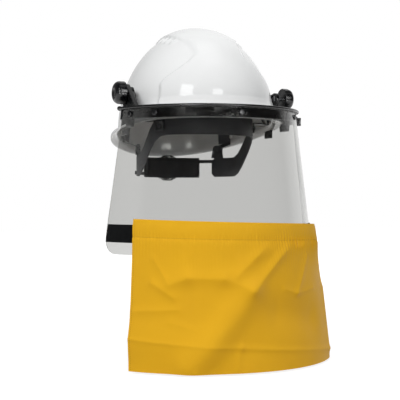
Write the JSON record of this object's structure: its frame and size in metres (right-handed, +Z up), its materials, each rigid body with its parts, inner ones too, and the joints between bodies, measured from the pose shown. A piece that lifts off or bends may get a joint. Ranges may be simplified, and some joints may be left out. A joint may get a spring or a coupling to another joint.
{
  "type": "hard hat with face shield and bib",
  "caption": "White cap-style hard hat with a ratchet suspension, a lifting clear face shield on side pivots and a yellow bib fastened along the shield's lower edge.",
  "frame": {"origin": "on the dome's vertical axis, level with the edge of the bill: the seat on the wearer's head", "axes": "+Z up along the dome's axis, -Y the way the wearer faces, +X the wearer's left"},
  "size_m": [0.3404, 0.3668, 0.49],
  "materials": {
    "white_shell": "glossy moulded polyethylene",
    "black_nylon": "satin moulded nylon",
    "grey_nylon": "satin moulded nylon",
    "grey_webbing": "woven polyester webbing",
    "foam": "cloth-faced foam",
    "steel": "zinc plated",
    "clear_sheet": "clear polycarbonate sheet",
    "black_tape": "hook and loop tape",
    "yellow_cloth": "coated woven cloth",
    "white_elastic": "woven elastic"
  },
  "bodies": {
    "shell": {"shell": "white_shell", "side_bracket_left": "black_nylon", "side_bracket_right": "black_nylon", "pivot_bolt_left": "steel", "pivot_bolt_right": "steel", "friction_washer_left": "grey_nylon", "friction_washer_right": "grey_nylon", "suspension_key_front_left": "black_nylon", "suspension_key_front_right": "black_nylon", "suspension_key_rear_left": "black_nylon", "suspension_key_rear_right": "black_nylon", "hanger_rivet_front_left": "grey_nylon", "hanger_rivet_front_right": "grey_nylon", "hanger_rivet_rear_left": "grey_nylon", "hanger_rivet_rear_right": "grey_nylon", "crown_strap_lower": "grey_webbing", "crown_strap_upper": "grey_webbing", "headband": "grey_nylon", "brow_pad": "foam", "nape_pad": "foam", "ratchet_case": "grey_nylon", "ratchet_cover": "black_nylon"},
    "visor_carrier": {"carrier_band": "black_nylon", "visor": "clear_sheet", "visor_stud_outer_right": "black_nylon", "visor_stud_inner_right": "black_nylon", "visor_stud_centre": "black_nylon", "visor_stud_inner_left": "black_nylon", "visor_stud_outer_left": "black_nylon", "end_clip": "black_nylon", "hook_tape": "black_tape", "loop_tape": "black_tape", "casing_flap": "yellow_cloth", "bib_elastic": "white_elastic", "bib_panel": "yellow_cloth"},
    "tension_knob_left": {"tension_knob_left": "black_nylon"},
    "tension_knob_right": {"tension_knob_right": "black_nylon"},
    "ratchet_knob": {"ratchet_knob": "black_nylon", "ratchet_pinion": "grey_nylon"},
    "rack_left": {"rack_left": "grey_nylon"},
    "rack_right": {"rack_right": "grey_nylon"}
  },
  "joints": [
    {"name": "visor_lift", "type": "hinge", "parent": "shell", "child": "visor_carrier", "pos_m": [0, -0.044, 0.038], "axis": [-1, 0, 0], "range_deg": [0, 90]},
    {"name": "tension_turn_left", "type": "hinge", "parent": "shell", "child": "tension_knob_left", "pos_m": [0.1269, -0.044, 0.038], "axis": [1, 0, 0], "range_deg": [0, 270]},
    {"name": "tension_turn_right", "type": "hinge", "parent": "shell", "child": "tension_knob_right", "pos_m": [-0.1269, -0.044, 0.038], "axis": [-1, 0, 0], "range_deg": [0, 270]},
    {"name": "ratchet_turn", "type": "hinge", "parent": "shell", "child": "ratchet_knob", "pos_m": [0, 0.1065, -0.064], "axis": [0, 1, 0], "range_deg": [-180, 180]},
    {"name": "rack_slide_left", "type": "hinge", "parent": "shell", "child": "rack_left", "pos_m": [0, 0.02, -0.064], "axis": [0, 0, -1], "range_deg": [-13.2, 13.2]},
    {"name": "rack_slide_right", "type": "hinge", "parent": "shell", "child": "rack_right", "pos_m": [0, 0.02, -0.064], "axis": [0, 0, 1], "range_deg": [-13.2, 13.2]}
  ],
  "couplings": [
    {"joint": "rack_slide_left", "follows": "ratchet_turn", "ratio": 0.0729},
    {"joint": "rack_slide_right", "follows": "ratchet_turn", "ratio": 0.0729}
  ]
}
